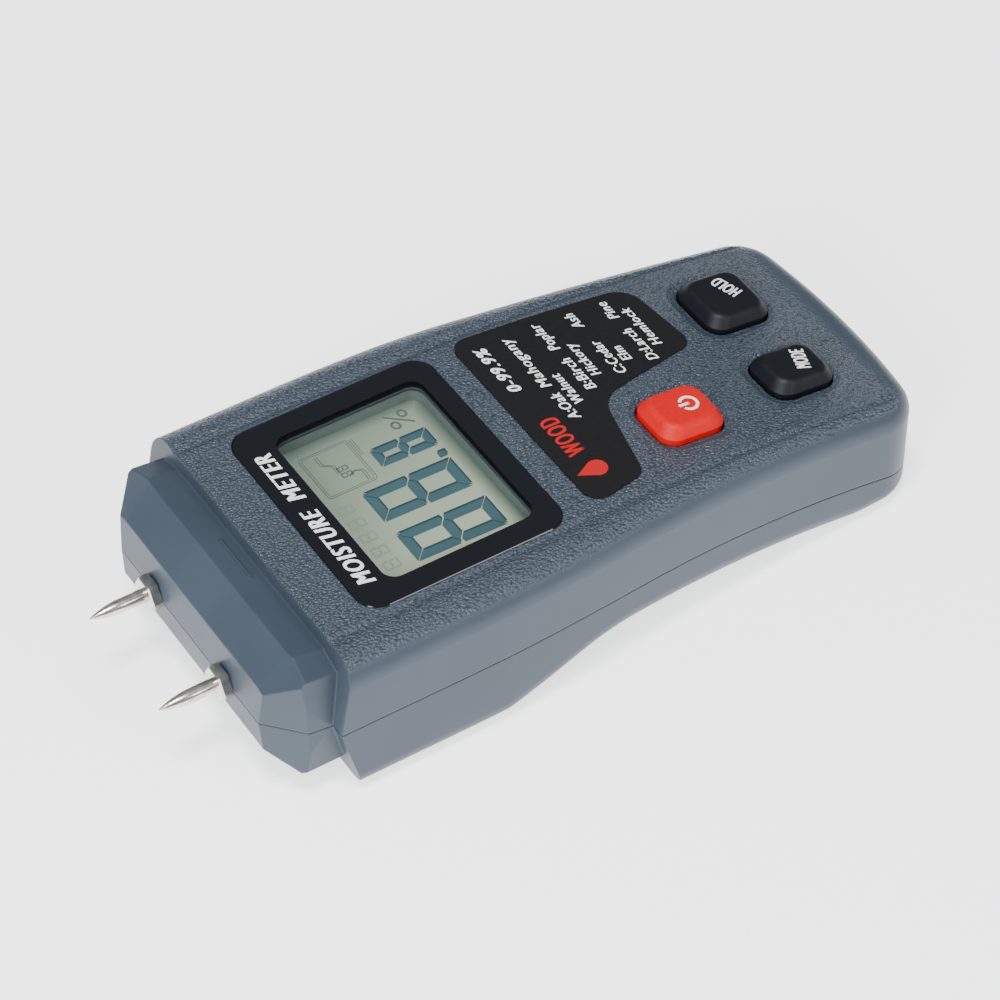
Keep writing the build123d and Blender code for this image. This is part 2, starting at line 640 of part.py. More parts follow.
# ------------------------------------------------------------------ measuring pins and sockets
COLLAR_Y = (HEAD_Y + 0.02, HEAD_Y + 0.02 + COLLAR_T)
with BuildPart() as pin:
    with BuildSketch(Plane.XZ.offset(-COLLAR_Y[1])):
        with Locations((0, PARTING_Z)):
            RegularPolygon(COLLAR_AF / 2, 6, major_radius=False)
    extrude(amount=COLLAR_T)
    chamfer(pin.edges().group_by(Axis.Y)[-1], 0.25)
    with BuildSketch(Plane.XY.offset(PARTING_Z)):
        with BuildLine():
            Polyline(
                (0, TIP_Y), (0, 50.4), (STUD_R - 0.2, 50.4), (STUD_R, 50.6), (STUD_R, COLLAR_Y[0] + 0.1),
                (PIN_R, COLLAR_Y[0] + 0.1), (PIN_R, COLLAR_Y[1] + PIN_STRAIGHT),
            )
            TangentArc((PIN_R, COLLAR_Y[1] + PIN_STRAIGHT), (0.08, TIP_Y), tangent=(0, 1))
            Line((0.08, TIP_Y), (0, TIP_Y))
        make_face()
    revolve(axis=Axis((0, 0, PARTING_Z), (0, 1, 0)))

with BuildPart() as socket:
    add(rod(0, PARTING_Z, SOCKET_R, SOCKET_Y))
    chamfer(socket.edges().group_by(Axis.Y)[-1], 0.3)
    add(rod(0, PARTING_Z, STUD_R + 0.05, (50.0, 56)), mode=Mode.SUBTRACT)

for name, side in (("left", -1), ("right", 1)):
    export(pin.part.moved(Location((side * PIN_X, 0, 0))), f"measuring_pin_{name}")
    export(socket.part.moved(Location((side * PIN_X, 0, 0))), f"pin_socket_{name}")


def wire(radius, bend, *points):
    """A round wire along straight runs joined by arcs."""
    with BuildPart() as lead:
        with BuildLine() as path:
            FilletPolyline(*points, radius=bend)
        with BuildSketch(path.line ^ 0):
            Circle(radius)
        sweep()
    return lead.part


SOCKET_TOP = PARTING_Z + SOCKET_R
for name, side in (("left", -1), ("right", 1)):
    x = side * PIN_X
    lead = wire(0.45, 1.5, (x, 49.3, SOCKET_TOP), (x, 49.3, 22.6), (x, 41.8, 22.6), (x, 41.8, PCB_TOP))
    export(lead, f"electrode_lead_{name}")

# ------------------------------------------------------------------ battery and its connector
BATTERY_Y = (BAY_Y[0] + BAY_Y[1]) / 2
BATTERY_MID_Z = BATTERY_Z + BATTERY_T / 2
BATTERY_TOP = BATTERY_Z + BATTERY_T
STUDS_Y = (BATTERY_Y - 6.35, BATTERY_Y + 6.35)


def along_x(y, radius, x_range):
    """A round bar along X at the height of the battery's terminals."""
    with BuildPart() as bar:
        with BuildSketch(Plane.YZ.offset(x_range[0])):
            with Locations((y, BATTERY_MID_Z)):
                Circle(radius)
        extrude(amount=x_range[1] - x_range[0])
    return bar.part


with BuildPart() as battery:
    battery_y = (BATTERY_Y - BATTERY_W / 2, BATTERY_Y + BATTERY_W / 2)
    add(block(BATTERY_X, battery_y, (BATTERY_Z, BATTERY_TOP)))
    fillet(battery.edges().filter_by(Axis.X), 2.2)
export(battery.part, "battery")

STUD_X = (BATTERY_X[1], BATTERY_X[1] + TERMINAL_H)
with BuildPart() as battery_terminals:
    add(along_x(STUDS_Y[0], 2.8, STUD_X))
    add(along_x(STUDS_Y[1], 4.4, STUD_X))
    add(along_x(STUDS_Y[1], 3.3, STUD_X), mode=Mode.SUBTRACT)
export(battery_terminals.part, "battery_terminals")

CLIP_X = (STUD_X[1] + 0.05, 25.2)
with BuildPart() as battery_clip:
    add(block(CLIP_X, (STUDS_Y[0] - 5.6, STUDS_Y[1] + 5.6), (BATTERY_MID_Z - 5.6, BATTERY_MID_Z + 5.6)))
    fillet(battery_clip.edges().filter_by(Axis.X), 3.0)
    fillet(battery_clip.edges().group_by(Axis.X)[-1], 0.8)
export(battery_clip.part, "battery_clip")

CONTACT_X = (STUD_X[0] + 0.1, CLIP_X[0])
with BuildPart() as clip_contacts:
    add(along_x(STUDS_Y[0], 4.4, CONTACT_X))
    add(along_x(STUDS_Y[0], 2.95, CONTACT_X), mode=Mode.SUBTRACT)
    add(along_x(STUDS_Y[1], 3.1, CONTACT_X))
export(clip_contacts.part, "clip_contacts")

CLIP_EDGE = STUDS_Y[0] - 5.6
LEAD_TOP = PCB_BOTTOM - 0.35
red = wire(
    0.6, 1.5, (23.8, CLIP_EDGE, 12.2), (23.8, 11.4, 12.2), (20.5, 9.2, 15.0), (18.0, 9.2, LEAD_TOP)
)
export(red, "battery_lead_red")
black = wire(
    0.6, 1.5, (23.8, CLIP_EDGE, 9.8), (23.8, 10.6, 9.8), (19.6, 8.0, 13.0), (15.4, 7.0, LEAD_TOP)
)
export(black, "battery_lead_black")

with BuildPart() as battery_foam:
    foam_y = (BATTERY_Y - 8, BATTERY_Y + 8)
    add(block((-BAY_X, BATTERY_X[0] - 0.02), foam_y, (4.0, 16.0)))
export(battery_foam.part, "battery_foam")


# ------------------------------------------------------------------ screws
def screw(head, radius, length):
    """A cross-recess screw standing on its head, with the head's top at the origin."""
    head_radius, head_height = head
    with BuildPart() as whole:
        with BuildSketch():
            Circle(head_radius)
        extrude(amount=head_height)
        fillet(whole.edges().group_by(Axis.Z)[0], head_height * 0.35)
        with BuildSketch(Plane.XY.offset(head_height)):
            Circle(radius)
        extrude(amount=length)
        chamfer(whole.edges().group_by(Axis.Z)[-1], radius * 0.4)
        with BuildSketch(Plane.XY):
            Rectangle(head_radius * 1.1, head_radius * 0.26)
            Rectangle(head_radius * 0.26, head_radius * 1.1)
        extrude(amount=head_height * 0.6, mode=Mode.SUBTRACT)
    return whole.part


with BuildPart() as case_screws:
    for side in (-1, 1):
        for x, y, seat in CASE_SCREWS:
            one = screw(CASE_HEAD, CASE_SCREW_R, CASE_SCREW_L)
            add(one.translate((side * x, y, seat - CASE_HEAD[1])))
export(case_screws.part, "case_screws")

with BuildPart() as board_screws:
    for side in (-1, 1):
        one = screw(BOARD_HEAD, BOARD_SCREW_R, PCB_T + 3.6)
        add(one.translate((side * BOARD_SCREW_X, BOARD_SCREW_Y, PCB_BOTTOM - BOARD_HEAD[1])))
        two = screw(BOARD_HEAD, BOARD_SCREW_R, KEY_BOARD_T + 3.2)
        seat = KEYPAD.offset(KEY_BOARD_LOW - BOARD_HEAD[1]).location
        add(two.moved(seat * Location((side * BOARD_SCREW_X, KEY_BOARD_SCREW_Y - KEYPAD_Y, 0))))
export(board_screws.part, "board_screws")
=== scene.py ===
"""Looks of the moisture meter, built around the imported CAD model. Metres, same frame as the CAD."""

from math import asin, cos, radians, sin, sqrt

import bmesh
import bpy
from mathutils import Matrix, Vector


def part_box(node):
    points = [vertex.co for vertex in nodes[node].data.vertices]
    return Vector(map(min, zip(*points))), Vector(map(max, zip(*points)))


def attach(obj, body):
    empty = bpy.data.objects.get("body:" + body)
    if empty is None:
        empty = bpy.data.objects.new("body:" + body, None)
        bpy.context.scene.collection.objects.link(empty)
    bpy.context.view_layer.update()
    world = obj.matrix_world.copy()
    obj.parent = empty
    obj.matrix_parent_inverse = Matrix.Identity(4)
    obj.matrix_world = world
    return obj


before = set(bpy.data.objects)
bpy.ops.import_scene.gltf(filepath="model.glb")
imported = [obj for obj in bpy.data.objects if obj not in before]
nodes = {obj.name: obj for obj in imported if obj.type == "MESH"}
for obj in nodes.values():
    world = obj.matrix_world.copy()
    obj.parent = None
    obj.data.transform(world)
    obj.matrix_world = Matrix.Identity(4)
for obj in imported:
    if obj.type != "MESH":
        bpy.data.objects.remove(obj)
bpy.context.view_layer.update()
MM = 0.001

# the bent face: flat down to BEND_Y, then an arc towards the keypad
TOP_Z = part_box("display_window")[1].z / MM
BEND_Y, BEND_R = 7.85, 385.0
KEYPAD_Y = -39.0
KEY_PROUD = 2.1
LABEL_PROUD = 0.05
INK_OUT = 0.006  # the middle of the printed letters over their surface


# ------------------------------------------------------------------ camera, light and floor
def make_camera():
    """The photograph's viewing angle, with a long lens."""
    data = bpy.data.cameras.new("camera")
    data.sensor_width = 36
    data.lens = 136.8
    data.clip_start, data.clip_end = 0.01, 20
    camera = bpy.data.objects.new("camera", data)
    bpy.context.scene.collection.objects.link(camera)
    camera.location = Vector((-366.178, 233.356, 457.415)) * MM
    forward = Vector((0.589384, -0.376125, -0.714952))
    camera.rotation_euler = forward.to_track_quat("-Z", "Y").to_euler()
    bpy.context.scene.camera = camera


def make_light(name, location, target, size, watts, colour=(1, 1, 1)):
    data = bpy.data.lights.new(name, "AREA")
    data.shape = "RECTANGLE"
    data.size, data.size_y = size
    data.energy = watts
    data.color = colour
    light = bpy.data.objects.new(name, data)
    bpy.context.scene.collection.objects.link(light)
    light.location = location
    light.rotation_euler = (Vector(target) - Vector(location)).to_track_quat("-Z", "Y").to_euler()


def make_stage():
    """A pale floor that glows a little, an even sky and three soft lights."""
    mesh = bpy.data.meshes.new("floor")
    bm = bmesh.new()
    bmesh.ops.create_grid(bm, x_segments=8, y_segments=8, size=3.0)
    bm.to_mesh(mesh)
    bm.free()
    floor = bpy.data.objects.new("floor", mesh)
    bpy.context.scene.collection.objects.link(floor)
    floor.location.z = -0.0002
    material, tree, shader = new_material("floor_paper")
    shader.inputs["Base Color"].default_value = (0.93, 0.935, 0.94, 1)
    shader.inputs["Roughness"].default_value = 0.9
    shader.inputs["Emission Color"].default_value = (0.97, 0.98, 1.0, 1)
    shader.inputs["Emission Strength"].default_value = 1.5
    mesh.materials.append(material)
    world = bpy.data.worlds.new("world")
    bpy.context.scene.world = world
    world.use_nodes = True
    world.node_tree.nodes["Background"].inputs["Color"].default_value = (0.95, 0.97, 1.0, 1)
    world.node_tree.nodes["Background"].inputs["Strength"].default_value = 0.34
    make_light("key_light", (-0.45, 0.75, 0.45), (0, 0, 0), (0.35, 0.5), 10.0)
    make_light("side_light", (-0.75, -0.4, 0.62), (0, 0, 0), (0.3, 0.3), 3.6)
    make_light("top_light", (-0.2, 0.22, 1.1), (0, 0, 0), (0.3, 0.3), 15.0)


# ------------------------------------------------------------------ material helpers
def new_material(name):
    material = bpy.data.materials.new(name)
    material.use_nodes = True
    tree = material.node_tree
    return material, tree, tree.nodes["Principled BSDF"]


def node(tree, kind, **settings):
    made = tree.nodes.new(kind)
    for key, value in settings.items():
        setattr(made, key, value)
    return made


def calculate(tree, operation, first, second=0.0, clamp=False):
    """A maths node on two sockets or numbers."""
    made = node(tree, "ShaderNodeMath", operation=operation, use_clamp=clamp)
    for socket, value in zip(made.inputs, (first, second)):
        if isinstance(value, (int, float)):
            socket.default_value = value
        else:
            tree.links.new(value, socket)
    return made.outputs[0]


def over(tree, value, limit, slope):
    """How far a value is over a limit, times a slope, kept between 0 and 1."""
    return calculate(tree, "MULTIPLY", calculate(tree, "SUBTRACT", value, limit), slope, True)


def scaled(tree, value, factor, offset):
    """value * factor + offset"""
    made = node(tree, "ShaderNodeMath", operation="MULTIPLY_ADD")
    tree.links.new(value, made.inputs[0])
    made.inputs[1].default_value = factor
    made.inputs[2].default_value = offset
    return made.outputs[0]


def ramp(tree, factor, stops):
    """A colour ramp through (position, colour) stops."""
    made = node(tree, "ShaderNodeValToRGB")
    made.color_ramp.elements[0].position = stops[0][0]
    made.color_ramp.elements[0].color = (*stops[0][1], 1)
    made.color_ramp.elements[1].position = stops[-1][0]
    made.color_ramp.elements[1].color = (*stops[-1][1], 1)
    for position, colour in stops[1:-1]:
        made.color_ramp.elements.new(position).color = (*colour, 1)
    tree.links.new(factor, made.inputs[0])
    return made.outputs[0]


def coordinates(tree):
    """Places on the object, in metres."""
    return node(tree, "ShaderNodeTexCoord").outputs["Object"]


def noise(tree, scale, detail=2.0, roughness=0.5, vector=None):
    made = node(tree, "ShaderNodeTexNoise")
    made.inputs["Scale"].default_value = scale
    made.inputs["Detail"].default_value = detail
    made.inputs["Roughness"].default_value = roughness
    tree.links.new(vector or coordinates(tree), made.inputs["Vector"])
    return made.outputs["Fac"]


def bump(tree, height, strength, distance, normal=None):
    made = node(tree, "ShaderNodeBump")
    made.inputs["Distance"].default_value = distance
    if isinstance(strength, (int, float)):
        made.inputs["Strength"].default_value = strength
    else:
        tree.links.new(strength, made.inputs["Strength"])
    tree.links.new(height, made.inputs["Height"])
    if normal:
        tree.links.new(normal, made.inputs["Normal"])
    return made.outputs["Normal"]


def rounded_edges(tree, radius):
    """Normals as if every sharp edge had a moulded round of this radius."""
    made = node(tree, "ShaderNodeBevel", samples=6)
    made.inputs["Radius"].default_value = radius
    return made.outputs[0]


def mix_colour(tree, factor, first, second):
    made = node(tree, "ShaderNodeMix", data_type="RGBA")
    tree.links.new(factor, made.inputs[0])
    for socket, value in ((made.inputs[6], first), (made.inputs[7], second)):
        if isinstance(value, tuple):
            socket.default_value = (*value, 1)
        else:
            tree.links.new(value, socket)
    return made.outputs[2]


def simple(name, dark, light, rough, scale=900.0, relief=0.15, metallic=0.0, rough_spread=0.1):
    """A material with fine mottling in colour, roughness and relief."""
    material, tree, shader = new_material(name)
    mottle = noise(tree, scale, 3.0)
    broad = noise(tree, scale / 12, 2.0)
    both = calculate(tree, "ADD", scaled(tree, mottle, 0.5, 0.0), calculate(tree, "MULTIPLY", broad, 0.5))
    tree.links.new(ramp(tree, both, [(0.3, dark), (0.7, light)]), shader.inputs["Base Color"])
    tree.links.new(scaled(tree, broad, rough_spread, rough - rough_spread / 2), shader.inputs["Roughness"])
    shader.inputs["Metallic"].default_value = metallic
    tree.links.new(bump(tree, mottle, relief, 0.00005), shader.inputs["Normal"])
    return material


def paint(node_name, material):
    """Gives a CAD node its material."""
    nodes[node_name].data.materials.clear()
    nodes[node_name].data.materials.append(material)


# ------------------------------------------------------------------ case plastic
GRAIN_FACING = 0.6  # the least upward part of the surface's normal that carries the grain
GRAIN_Y = (-0.0655, 0.0462)


def case_material(name, grained):
    """Blue-grey moulded plastic: leather-like spark grain on the face, smooth on the walls."""
    material, tree, shader = new_material(name)
    where = coordinates(tree)
    broad = noise(tree, 60.0, 3.0, vector=where)
    colour = ramp(tree, broad, [(0.35, (0.031, 0.044, 0.061)), (0.65, (0.036, 0.051, 0.069))])
    fine = noise(tree, 2600.0, 2.0, vector=where)
    normal = bump(tree, fine, 0.12, 0.00004, rounded_edges(tree, 0.0005))
    shader.inputs["Specular IOR Level"].default_value = 0.27
    rough = scaled(tree, broad, 0.12, 0.36)
    if grained:
        split = node(tree, "ShaderNodeSeparateXYZ")
        tree.links.new(where, split.inputs[0])
        facing = node(tree, "ShaderNodeSeparateXYZ")
        tree.links.new(node(tree, "ShaderNodeNewGeometry").outputs["Normal"], facing.inputs[0])
        # the grain is on what faces up, behind the head and short of the keypad end
        up = over(tree, facing.outputs[2], GRAIN_FACING, 5.0)
        body = calculate(tree, "SUBTRACT", GRAIN_Y[1], split.outputs[1])
        body = calculate(tree, "MULTIPLY", body, 3000.0, True)
        end = over(tree, split.outputs[1], GRAIN_Y[0], 350.0)
        mask = calculate(tree, "MULTIPLY", calculate(tree, "MULTIPLY", up, body), end)
        warp = node(tree, "ShaderNodeMapping")
        warp.inputs["Scale"].default_value = (1.0, 0.72, 1.0)
        tree.links.new(where, warp.inputs["Vector"])
        cells = node(tree, "ShaderNodeTexVoronoi", feature="SMOOTH_F1")
        cells.inputs["Scale"].default_value = 2600.0
        cells.inputs["Smoothness"].default_value = 0.35
        cells.inputs["Randomness"].default_value = 1.0
        tree.links.new(warp.outputs[0], cells.inputs["Vector"])
        lumps = noise(tree, 2600.0, 2.5, 0.6, warp.outputs[0])
        lumps = calculate(tree, "MULTIPLY", lumps, 0.45)
        grain = calculate(tree, "ADD", calculate(tree, "MULTIPLY", cells.outputs["Distance"], -0.9), lumps)
        strength = calculate(tree, "MULTIPLY", mask, 0.85)
        normal = bump(tree, grain, strength, 0.00042, normal)
        colour = mix_colour(tree, mask, colour, (0.052, 0.069, 0.091))
        # painted shade: the grain's hollows between cells are coloured darker
        pit_shade = over(tree, cells.outputs["Distance"], 0.3, 1.6)
        pit_shade = calculate(tree, "MULTIPLY", pit_shade, mask)
        colour = mix_colour(tree, pit_shade, colour, (0.024, 0.033, 0.045))
        rough = calculate(tree, "SUBTRACT", rough, calculate(tree, "MULTIPLY", mask, 0.15))
    tree.links.new(colour, shader.inputs["Base Color"])
    tree.links.new(rough, shader.inputs["Roughness"])
    tree.links.new(normal, shader.inputs["Normal"])
    return material


paint("front_case", case_material("case_plastic_grained", True))
smooth_case = case_material("case_plastic_smooth", False)
paint("rear_case", smooth_case)
paint("battery_cover", smooth_case)


# ------------------------------------------------------------------ window and display
def pane(tree, tint, rough):
    """A clear sheet: light passes straight through, and more is reflected at a glancing view."""
    clear = node(tree, "ShaderNodeBsdfTransparent")
    if isinstance(tint, tuple):
        clear.inputs["Color"].default_value = (*tint, 1)
    else:
        tree.links.new(tint, clear.inputs["Color"])
    gloss = node(tree, "ShaderNodeBsdfGlossy")
    gloss.inputs["Roughness"].default_value = rough
    glancing = calculate(tree, "POWER", node(tree, "ShaderNodeLayerWeight").outputs["Facing"], 5.0)
    share = calculate(tree, "ADD", calculate(tree, "MULTIPLY", glancing, 0.7), 0.02)
    mixed = node(tree, "ShaderNodeMixShader")
    tree.links.new(share, mixed.inputs[0])
    tree.links.new(clear.outputs[0], mixed.inputs[1])
    tree.links.new(gloss.outputs[0], mixed.inputs[2])
    return mixed.outputs[0]


def window_material():
    """A clear sheet printed black on its underside, except over the display."""
    material, tree, shader = new_material("window_border")
    where = node(tree, "ShaderNodeSeparateXYZ")
    tree.links.new(coordinates(tree), where.inputs[0])
    view_y, half_x, half_y, radius = 0.01792, 0.0182, 0.0137, 0.0025  # the clear view in the black border
    side = calculate(tree, "SUBTRACT", calculate(tree, "ABSOLUTE", where.outputs[0], 0.0), half_x - radius)
    along = calculate(tree, "SUBTRACT", where.outputs[1], view_y)
    along = calculate(tree, "SUBTRACT", calculate(tree, "ABSOLUTE", along, 0.0), half_y - radius)
    side = calculate(tree, "MAXIMUM", side, 0.0)
    along = calculate(tree, "MAXIMUM", along, 0.0)
    square = calculate(tree, "ADD", calculate(tree, "POWER", side, 2.0), calculate(tree, "POWER", along, 2.0))
    outside = calculate(tree, "SUBTRACT", calculate(tree, "SQRT", square, 0.0), radius)
    border = calculate(tree, "MULTIPLY", outside, 20000.0, True)
    shader.inputs["Base Color"].default_value = (0.0045, 0.006, 0.0085, 1)
    shader.inputs["Roughness"].default_value = 0.07
    shader.inputs["IOR"].default_value = 1.4
    smear = bump(tree, noise(tree, 90.0, 2.0), 0.03, 0.0004)
    tree.links.new(smear, shader.inputs["Normal"])
    mixed = node(tree, "ShaderNodeMixShader")
    tree.links.new(border, mixed.inputs[0])
    tree.links.new(pane(tree, (0.95, 0.965, 0.955), 0.05), mixed.inputs[1])
    tree.links.new(shader.outputs[0], mixed.inputs[2])
    tree.links.new(mixed.outputs[0], tree.nodes["Material Output"].inputs["Surface"])
    return material


def lcd_face_material():
    """Grey-green display face with painted shade: darker towards its far corner, and a painted shadow under
    the frame's two far edges.
    """
    material, tree, shader = new_material("lcd_face")
    where = node(tree, "ShaderNodeSeparateXYZ")
    tree.links.new(coordinates(tree), where.inputs[0])
    # painted shade: the face darkens from its near corner towards its far corner, with a fine random speckle
    across = calculate(tree, "ADD", where.outputs[0], 0.018)
    along = calculate(tree, "SUBTRACT", where.outputs[1], 0.0045)
    across = calculate(tree, "MULTIPLY", across, 20.0)
    along = calculate(tree, "MULTIPLY", along, 10.0)
    shade_fall = calculate(tree, "ADD", across, along)
    speckle = calculate(tree, "MULTIPLY", noise(tree, 3000.0, 2.0), 0.12)
    shade_fall = calculate(tree, "ADD", shade_fall, speckle, True)
    stops = [(0.0, (0.42, 0.46, 0.34)), (0.45, (0.32, 0.365, 0.28)), (1.0, (0.185, 0.235, 0.19))]
    face = ramp(tree, shade_fall, stops)
    # painted shadow: dark bands on the face under the frame's two far edges
    right = over(tree, where.outputs[0], 0.0158, 420.0)
    near = calculate(tree, "MULTIPLY", calculate(tree, "SUBTRACT", 0.0068, where.outputs[1]), 420.0, True)
    edge = calculate(tree, "MAXIMUM", right, near)
    tree.links.new(mix_colour(tree, edge, face, (0.075, 0.105, 0.09)), shader.inputs["Base Color"])
    shader.inputs["Roughness"].default_value = 0.34
    return material


def clear_material(name, tint, rough):
    """A clear sheet of its own, faintly uneven in tint."""
    material, tree, _ = new_material(name)
    tinted = ramp(tree, noise(tree, 40.0), [(0.2, tint), (0.8, tuple(c * 0.985 for c in tint))])
    tree.links.new(pane(tree, tinted, rough), tree.nodes["Material Output"].inputs["Surface"])
    return material


paint("display_window", window_material())
paint("lcd_front_glass", lcd_face_material())
paint("lcd_rear_glass", clear_material("lcd_glass_rear", (0.97, 0.985, 0.96), 0.2))
paint("lcd_reflector", simple("lcd_reflector", (0.30, 0.345, 0.285), (0.36, 0.41, 0.34), 0.55, 3000, 0.1))
paint("lcd_frame", simple("lcd_frame_plastic", (0.10, 0.125, 0.12), (0.13, 0.16, 0.15), 0.45))


# ------------------------------------------------------------------ flat artwork helpers
def flat_place(z):
    """A place on the flat part of the face: x and y in mm give a matrix."""
    return lambda x, y: Matrix.Translation(Vector((x, y, z)) * MM)


def face_place(out):
    """A place on the bent face, tilted with it."""

    def place(x, y):
        below = max(BEND_Y - y, 0.0)
        z = TOP_Z - BEND_R + sqrt(BEND_R**2 - below**2)
        tilt = asin(below / BEND_R)
        middle = Vector((x, y - sin(tilt) * out, z + cos(tilt) * out)) * MM
        return Matrix.Translation(middle) @ Matrix.Rotation(tilt, 4, "X")

    return place


def key_place(out):
    """A place on the keypad's plane, at a height over the face."""
    tilt = asin((BEND_Y - KEYPAD_Y) / BEND_R)
    z = TOP_Z - BEND_R + sqrt(BEND_R**2 - (BEND_Y - KEYPAD_Y) ** 2)
    turn = Matrix.Rotation(tilt, 4, "X")

    def place(x, y):
        local = turn @ Vector((x, (y - KEYPAD_Y) / cos(tilt), out))
        return Matrix.Translation((local + Vector((0, KEYPAD_Y, z))) * MM) @ turn

    return place


def plates(name, outlines, thickness, material, body="root"):
    """Thin plates from pairs of a place's matrix and an outline on it in mm."""
    mesh = bpy.data.meshes.new(name)
    bm = bmesh.new()
    for matrix, outline in outlines:
        corners = [bm.verts.new(matrix @ Vector((x * MM, y * MM, 0))) for x, y in outline]
        face = bm.faces.new(corners)
        if face.normal.z < 0:
            face.normal_flip()
        made = bmesh.ops.extrude_face_region(bm, geom=[face])
        lift = matrix.to_3x3() @ Vector((0, 0, thickness * MM))
        risen = [part for part in made["geom"] if isinstance(part, bmesh.types.BMVert)]
        bmesh.ops.translate(bm, verts=risen, vec=lift)
    bmesh.ops.recalc_face_normals(bm, faces=bm.faces[:])
    bm.to_mesh(mesh)
    bm.free()
    piece = bpy.data.objects.new(name, mesh)
    bpy.context.scene.collection.objects.link(piece)
    mesh.materials.append(material)
    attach(piece, body)


CAPITAL = 0.69  # height of a capital letter at a font size of 1
INK_HALF = 0.004  # half the thickness of the ink, in mm


def lettering(name, text, x, y, place, height, width, material, lean=0.25, weight=0.0, body="root",
              turn=0.0):
    """One line of raised ink, starting at x and y, with capitals of this height, fitted to a width."""
    data = bpy.data.curves.new(name, "FONT")
    data.body = text
    data.shear = lean
    data.resolution_u = 3
    data.space_character = 1.05 + weight / height
    data.extrude = INK_HALF / height
    data.size = 1.0
    piece = bpy.data.objects.new(name, data)
    bpy.context.scene.collection.objects.link(piece)
    bpy.context.view_layer.update()
    reach = [corner[0] for corner in piece.bound_box]
    natural = max(reach) - min(reach)
    scale = Matrix.Diagonal(((width - weight) / natural * MM, height / CAPITAL * MM, height * MM, 1))
    data.materials.append(material)
    # the strokes are made bold by a second copy beside the first
    for number, aside in enumerate((0.0, weight) if weight else (0.0,)):
        copy = piece if number == 0 else bpy.data.objects.new(f"{name}_bold", data)
        if number:
            bpy.context.scene.collection.objects.link(copy)
        shift = Matrix.Translation((aside * MM, 0, number * 2e-6))
        copy.matrix_world = place(x, y) @ Matrix.Rotation(radians(turn), 4, "Z") @ shift @ scale
        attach(copy, body)


def ink(name, colour, rough=0.45):
    """Printing ink, a little uneven."""
    dark = tuple(c * 0.9 for c in colour)
    return simple(name, dark, colour, rough, 2500.0, 0.08)


white_ink = ink("ink_white", (0.86, 0.87, 0.88))
red_ink = ink("ink_red", (0.46, 0.002, 0.006))

# title along the window's pin side
ON_WINDOW = flat_place(TOP_Z + INK_OUT)
lettering("title_left", "MOISTURE", -17.3, 33.15, ON_WINDOW, 2.9, 18.9, white_ink, 0.3, 0.34)
lettering("title_right", "METER", 4.0, 33.15, ON_WINDOW, 2.9, 11.9, white_ink, 0.3, 0.34)


# ------------------------------------------------------------------ segments on the display
LCD_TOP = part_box("lcd_front_glass")[1].z / MM


def digit(left, bottom, width, height, bar, gap):
    """Seven segment outlines of an 8, with mitred ends."""
    right, top, middle = left + width, bottom + height, bottom + height / 2
    g, b, h = gap, bar, bar / 2
    segments = [
        [(left + g, top), (right - g, top), (right - g - b, top - b), (left + g + b, top - b)],
        [(left + g, bottom), (left + g + b, bottom + b), (right - g - b, bottom + b), (right - g, bottom)],
        [(left + g + h, middle), (left + g + b, middle + h), (right - g - b, middle + h),
         (right - g - h, middle), (right - g - b, middle - h), (left + g + b, middle - h)],
    ]
    for x, inward in ((left, 1), (right, -1)):
        segments.append([
            (x, top - g), (x, middle + g + h * 0.3), (x + inward * h, middle + g + 0.1),
            (x + inward * b, middle + g + h), (x + inward * b, top - g - b),
        ])
        segments.append([
            (x, bottom + g), (x + inward * b, bottom + g + b), (x + inward * b, middle - g - h),
            (x + inward * h, middle - g - 0.1), (x, middle - g - h * 0.3),
        ])
    return segments


def lean_right(outline, pivot_y, amount):
    return [(x + (y - pivot_y) * amount, y) for x, y in outline]


